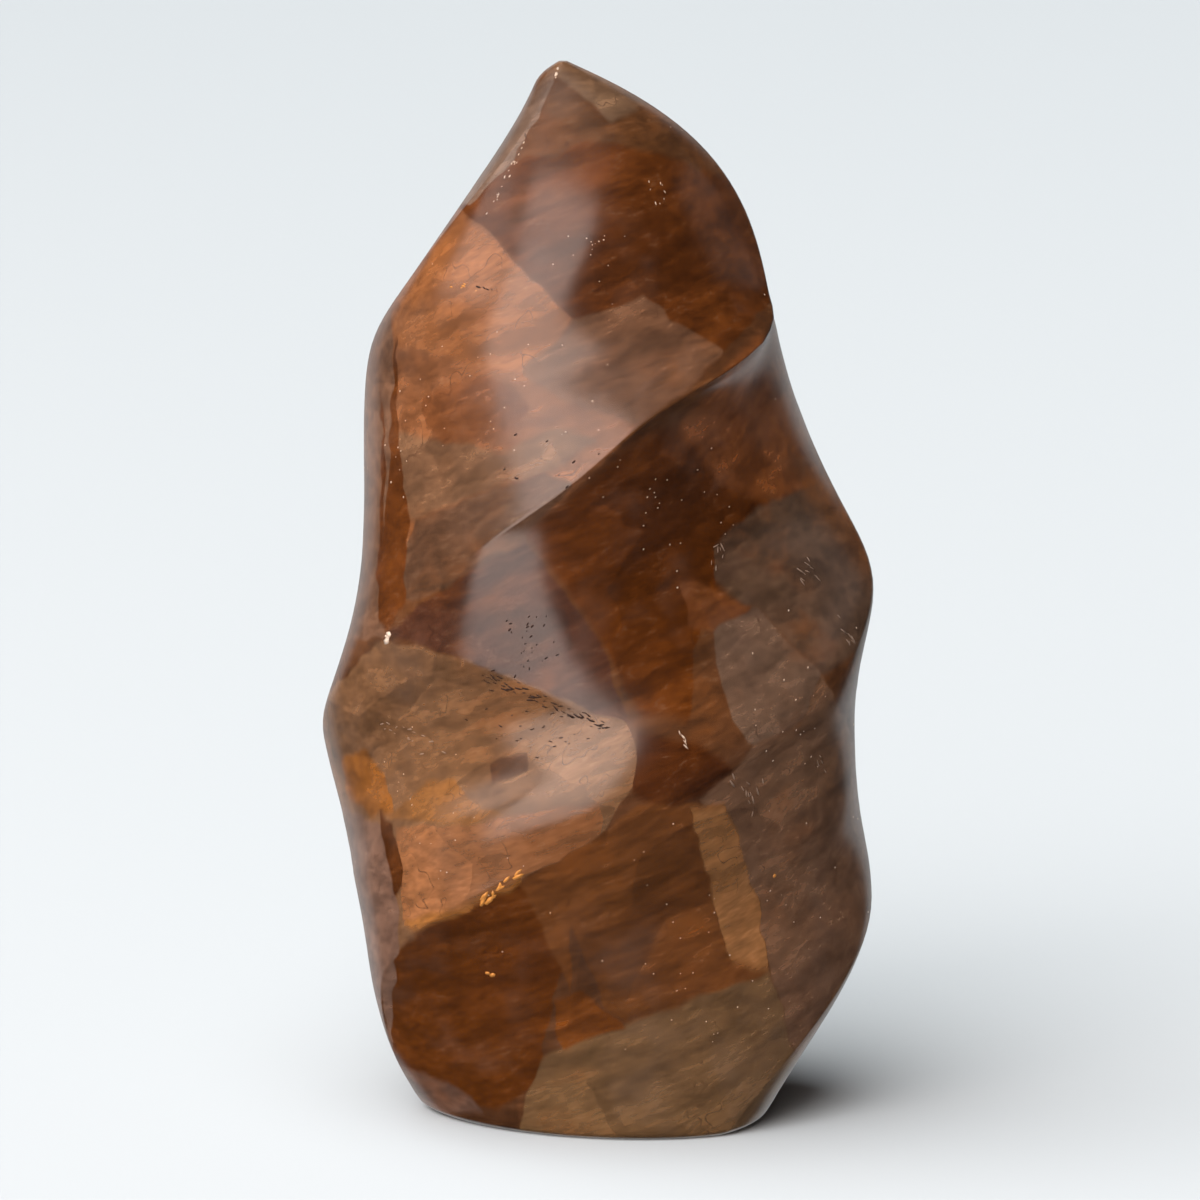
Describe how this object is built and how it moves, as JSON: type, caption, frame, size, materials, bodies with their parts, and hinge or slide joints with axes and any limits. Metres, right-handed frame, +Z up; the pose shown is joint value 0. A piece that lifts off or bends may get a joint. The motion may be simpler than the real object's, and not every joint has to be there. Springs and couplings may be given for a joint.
{
  "type": "quartz flame",
  "caption": "Polished free-standing flame carved from smoky golden quartz, with spiral ridges that climb from a flat foot to a blunt tip.",
  "frame": {"origin": "middle of the flat foot", "axes": "+Z up to the tip, -Y towards the side with the long curled ridge, +X to the right of that side"},
  "size_m": [0.0624, 0.0532, 0.119],
  "materials": {
    "golden_quartz": "clear to cloudy smoky brown quartz with golden and rust orange veils, high polish"
  },
  "bodies": {
    "root": {"quartz_flame": "golden_quartz"}
  },
  "joints": []
}
